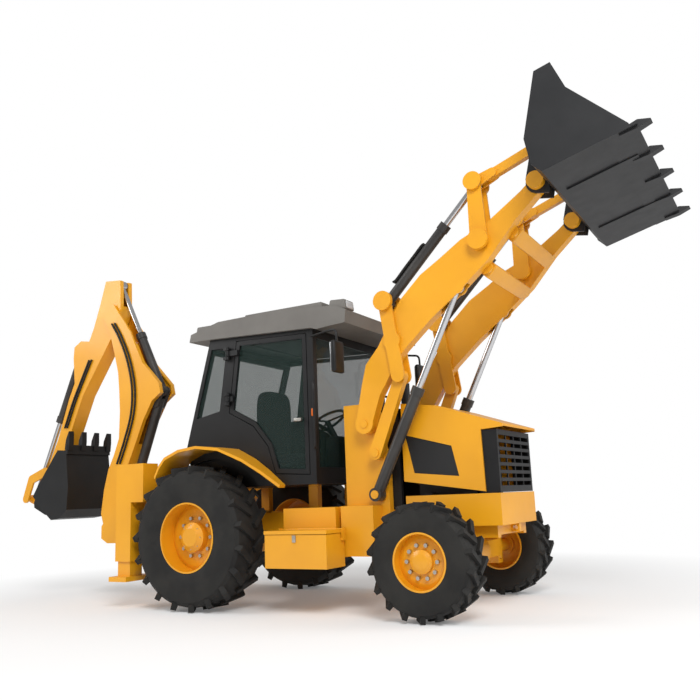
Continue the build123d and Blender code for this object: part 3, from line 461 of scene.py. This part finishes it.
# two corners and the rounding: pedestal, back bracket, console
STATION_BOXES = [((360, -150, 1145.2), (620, 150, 1275), 12.0), ((200, -120, 1262), (300, 120, 1440), 12.0),
                 ((960, -140, 1145.2), (1120, 140, 1560), 25.0)]
COLUMN_FOOT, COLUMN_RADIUS = (1010, 0, 1530), 28.0
WHEEL_CENTRE, WHEEL_ACROSS, WHEEL_LEAN = Vector((905, 0, 1723)), Vector((0, 1, 0)), Vector((0.87, 0, 0.5))
WHEEL_RADIUS, WHEEL_TUBE, WHEEL_STEPS = 190, 14.0, 32
SPOKE_STEPS, SPOKE_RADIUS, SPOKE_SIDES = (4, 16, 27), 10.0, 10


def cloth_finish():
    """Woven seat cloth."""
    material, shader = new_finish("seat_cloth", CLOTH, roughness=0.9)
    blend_colours(material, shader, cloud(material, 160.0), CLOTH, CLOTH_WORN)
    emboss(material, shader, cloud(material, 420.0, detail=1.0), strength=0.3)
    return material


def cushion(name, low, high, *stands_for):
    """A crowned, closed foam cushion that fills this box."""
    low, high = at(*low), at(*high)
    middle, half = (low + high) / 2, (high - low) / 2
    mesh = bmesh.new()
    bmesh.ops.create_cube(mesh, size=2.0)
    bmesh.ops.subdivide_edges(mesh, edges=mesh.edges, cuts=CUSHION_CUTS, use_grid_fill=True)
    for vert in mesh.verts:
        share = sum(abs(value) ** CUSHION_POWER for value in vert.co) ** (1 / CUSHION_POWER)
        vert.co = middle + Vector([value * reach / share for value, reach in zip(vert.co, half)])
    show(name, mesh, cloth, "chassis", *stands_for)


cloth = cloth_finish()
cushion("seat_cushion", *SEAT, "operator_station")
cushion("seat_back", *SEAT_BACK)
mesh = bmesh.new()
for low, high, rounding in STATION_BOXES:
    add_box(mesh, low, high, rounding)
add_rod(mesh, COLUMN_FOOT, WHEEL_CENTRE, COLUMN_RADIUS)
ring = []
for k in range(WHEEL_STEPS + 1):
    turn = math.tau * k / WHEEL_STEPS
    ring.append(WHEEL_CENTRE + WHEEL_RADIUS * (math.cos(turn) * WHEEL_ACROSS + math.sin(turn) * WHEEL_LEAN))
add_tube(mesh, ring, WHEEL_TUBE, steps=1)
for k in SPOKE_STEPS:
    add_rod(mesh, WHEEL_CENTRE, ring[k], SPOKE_RADIUS, SPOKE_SIDES)
show("seat_base_and_console", mesh, black, "chassis")

# Rear fenders and toolbox: pressed sheet, sprayed yellow and bolted to the cab and the frame.
# The toolbox lid closes with a zinc latch plate.
LATCH = ((1130, -1000, 610), (1166, -1010, 668), 3.0)
dress(yellow, "fenders", "toolbox", "toolbox_lid")
mesh = bmesh.new()
add_box(mesh, *LATCH)
show("toolbox_latch", mesh, zinc, "chassis")

# Loader: box section arms, levers and links welded from plate, sprayed yellow and tied by two box members.
# The cylinders have dark barrels and hard chrome rods.
# The bucket is charcoal plate with two wear strips welded under its floor.
CHARCOAL, CHARCOAL_WORN = (0.017, 0.0175, 0.019), (0.022, 0.0225, 0.024)
BARREL, BARREL_WORN = (0.030, 0.028, 0.027), (0.050, 0.047, 0.044)
CHROME = (0.55, 0.55, 0.56)
CROSS_MEMBERS = [(3105, 3118), (2858, 2848)]
# from the middle of a cross member to its corners and to its ends
CROSS_CORNER, CROSS_REACH, CROSS_ROUNDING = 93.324, 494.0, 8.0
# lower y of each wear strip, and its width
STRIP_PLACES, STRIP_WIDTH = (-620, 500), 120
WEAR_STRIP = [(3614, 3341), (4176, 3494), (4180, 3481), (3618, 3328)]
dress(yellow, "loader_arm", "loader_lever", "lower_links", "bellcranks", "push_links")
charcoal = satin_paint("bucket_charcoal", CHARCOAL, CHARCOAL_WORN, roughness=0.42)
barrel = satin_paint("barrel_paint", BARREL, BARREL_WORN, roughness=0.32)
chrome = metal("hard_chrome", CHROME, low=0.1, high=0.25, grain=40.0)
dress(charcoal, "loader_bucket")
dress(barrel, "lift_barrels", "tilt_barrels", "boom_barrel", "dipper_barrel", "dig_barrel")
dress(chrome, "lift_rods", "tilt_rods", "boom_rod", "dipper_rod", "dig_rod")
dress(yellow, "tilt_pins", "bellcrank_pins", "push_link_pins", "bucket_pins")
mesh = bmesh.new()
for x, z in CROSS_MEMBERS:
    corners = [(x + CROSS_CORNER, z), (x, z + CROSS_CORNER), (x - CROSS_CORNER, z), (x, z - CROSS_CORNER)]
    add_plate(mesh, corners, -CROSS_REACH, CROSS_REACH)
soften(mesh, mesh.edges, CROSS_ROUNDING)
show("cross_members", mesh, yellow, "loader_arm")
mesh = bmesh.new()
for y in STRIP_PLACES:
    add_plate(mesh, WEAR_STRIP, y, y + STRIP_WIDTH)
show("wear_strips", mesh, charcoal, "loader_bucket")

# Digging arm: carriage, kingpost, boom and dipper welded from plate and sprayed yellow.
# The bucket is black plate; each joint turns on a pin through two cheeks.
dress(yellow, "carriage", "kingpost", "boom", "dipper", "dig_lever", "dig_link")
dress(black, "dig_bucket")

# Hoses: black rubber pressure hoses clipped along the tilt cylinders, the boom and the dipper.
# Each run is held on one body and ends at a fitting short of the joint.
HOSE_RADIUS = 11.0
TILT_RUN = [(2010, 2846), (2046, 2866), (2130, 2953), (2230, 3051), (2310, 3130), (2338, 3138)]
BOOM_RUN = [(-1500, 1420), (-1400, 1650), (-1300, 1950), (-1290, 2250), (-1370, 2560), (-1500, 2830), (-1620, 3010)]
DIPPER_RUN = [(-2010, 2640), (-2120, 2440), (-2260, 2180), (-2390, 1880)]
# body, line of x and z, y of each hose, shift in x of each hose
HOSES = [("tilt_barrels", TILT_RUN, (-597, -565, 565, 597), (0,)),
         ("boom", BOOM_RUN, (-512, -248), (0, 45)),
         ("dipper", DIPPER_RUN, (-482, -278), (0, 40))]
for body, run, places, shifts in HOSES:
    mesh = bmesh.new()
    for y in places:
        for shift in shifts:
            add_tube(mesh, [(x + shift, y, z) for x, z in run], HOSE_RADIUS)
    show(body + "_hoses", mesh, rubber, body)

# Studio: pale floor that fades into a white surround, so that only the machine's shadow shows.
# One large soft key lamp stands at the front right, with two weaker fills.
FLOOR_SIZE = 60.0
FLOOR_GREY, FLOOR_GLOW, AMBIENT = (0.80, 0.80, 0.80), 0.12, 0.45
WHITE = (1, 1, 1, 1)
# distance from the origin over which the floor turns white
FADE_START, FADE_END = 3.2, 6.0


def seen_by_camera(tree):
    """A socket that is 1 for what the camera sees, also through glass."""
    path = tree.nodes.new("ShaderNodeLightPath")
    seen = tree.nodes.new("ShaderNodeMath")
    seen.operation = "MAXIMUM"
    tree.links.new(path.outputs["Is Camera Ray"], seen.inputs[0])
    tree.links.new(path.outputs["Is Transmission Ray"], seen.inputs[1])
    return seen.outputs["Value"]


def mix_shaders(tree, share, first, second):
    """Goes from the first shader to the second with the share."""
    mix = tree.nodes.new("ShaderNodeMixShader")
    tree.links.new(share, mix.inputs["Fac"])
    tree.links.new(first, mix.inputs[1])
    tree.links.new(second, mix.inputs[2])
    return mix.outputs["Shader"]


def fade_far_floor(tree, shader):
    """Turns the floor white for the camera away from the machine, where no shadow falls."""
    place = tree.nodes.new("ShaderNodeTexCoord")
    reach = tree.nodes.new("ShaderNodeVectorMath")
    reach.operation = "LENGTH"
    share = tree.nodes.new("ShaderNodeMapRange")
    share.inputs["From Min"].default_value = FADE_START
    share.inputs["From Max"].default_value = FADE_END
    both = tree.nodes.new("ShaderNodeMath")
    both.operation = "MULTIPLY"
    glow = tree.nodes.new("ShaderNodeEmission")
    tree.links.new(place.outputs["Object"], reach.inputs[0])
    tree.links.new(reach.outputs["Value"], share.inputs["Value"])
    tree.links.new(share.outputs["Result"], both.inputs[0])
    tree.links.new(seen_by_camera(tree), both.inputs[1])
    faded = mix_shaders(tree, both.outputs["Value"], shader.outputs["BSDF"], glow.outputs["Emission"])
    tree.links.new(faded, tree.nodes["Material Output"].inputs["Surface"])


floor_mesh = bmesh.new()
bmesh.ops.create_grid(floor_mesh, x_segments=1, y_segments=1, size=FLOOR_SIZE)
floor_data = bpy.data.meshes.new("floor")
floor_mesh.to_mesh(floor_data)
floor_mesh.free()
floor = bpy.data.objects.new("floor", floor_data)
bpy.context.scene.collection.objects.link(floor)
floor_finish, floor_shader = new_finish("pale_floor", FLOOR_GREY, roughness=0.9)
floor_shader.inputs["Specular IOR Level"].default_value = 0.0
floor_shader.inputs["Emission Color"].default_value = WHITE
floor_shader.inputs["Emission Strength"].default_value = FLOOR_GLOW
fade_far_floor(floor_finish.node_tree, floor_shader)
floor_data.materials.append(floor_finish)

world = bpy.data.worlds.new("studio")
world.use_nodes = True
bpy.context.scene.world = world
tree = world.node_tree
ambient = tree.nodes["Background"]
ambient.inputs["Color"].default_value = WHITE
ambient.inputs["Strength"].default_value = AMBIENT
white = tree.nodes.new("ShaderNodeBackground")
white.inputs["Color"].default_value = WHITE
white.inputs["Strength"].default_value = 1.0
surround = mix_shaders(tree, seen_by_camera(tree), ambient.outputs["Background"], white.outputs["Background"])
tree.links.new(surround, tree.nodes["World Output"].inputs["Surface"])

# name, place, aim, size, power
LAMPS = [("key", (7.5, -9.0, 10.0), (0.3, 0.0, 1.2), 6.0, 1150.0),
         ("front_fill", (11.0, 3.0, 6.0), (1.5, 0.0, 1.5), 6.0, 420.0),
         ("rear_fill", (-8.0, -6.0, 7.0), (-1.0, 0.0, 1.2), 6.0, 380.0)]
for name, place, aim, size, power in LAMPS:
    lamp = bpy.data.lights.new(name, "AREA")
    lamp.shape = "DISK"
    lamp.size = size
    lamp.energy = power
    holder = bpy.data.objects.new(name, lamp)
    holder.location = place
    holder.rotation_euler = (Vector(aim) - Vector(place)).to_track_quat("-Z", "Y").to_euler()
    bpy.context.scene.collection.objects.link(holder)

# Camera: low at the front right corner, looking up at the raised bucket, as in the photograph.
# Its focal length and centre are in pixels of a square picture.
CAMERA_PLACE = Vector((4.3261, -6.6481, 0.9784))
CAMERA_YAW, CAMERA_PITCH, CAMERA_ROLL = 2.0985, 0.1922, -0.0379
PICTURE = 700.0
FOCAL, CENTRE_X, CENTRE_Y = 776.61, 342.58, 345.39
ahead = Vector((math.cos(CAMERA_PITCH) * math.cos(CAMERA_YAW), math.cos(CAMERA_PITCH) * math.sin(CAMERA_YAW),
                math.sin(CAMERA_PITCH)))
level = Vector((math.sin(CAMERA_YAW), -math.cos(CAMERA_YAW), 0))
above = level.cross(ahead)
right = level * math.cos(CAMERA_ROLL) + above * math.sin(CAMERA_ROLL)
up = above * math.cos(CAMERA_ROLL) - level * math.sin(CAMERA_ROLL)
camera_data = bpy.data.cameras.new("camera")
camera_data.sensor_width = 36.0
camera_data.lens = FOCAL / PICTURE * camera_data.sensor_width
camera_data.shift_x = 0.5 - CENTRE_X / PICTURE
camera_data.shift_y = CENTRE_Y / PICTURE - 0.5
camera = bpy.data.objects.new("camera", camera_data)
camera.matrix_world = Matrix((right, up, -ahead)).transposed().to_4x4()
camera.location = CAMERA_PLACE
bpy.context.scene.collection.objects.link(camera)
bpy.context.scene.camera = camera
bpy.context.scene.view_settings.view_transform = "Standard"

bpy.context.view_layer.update()
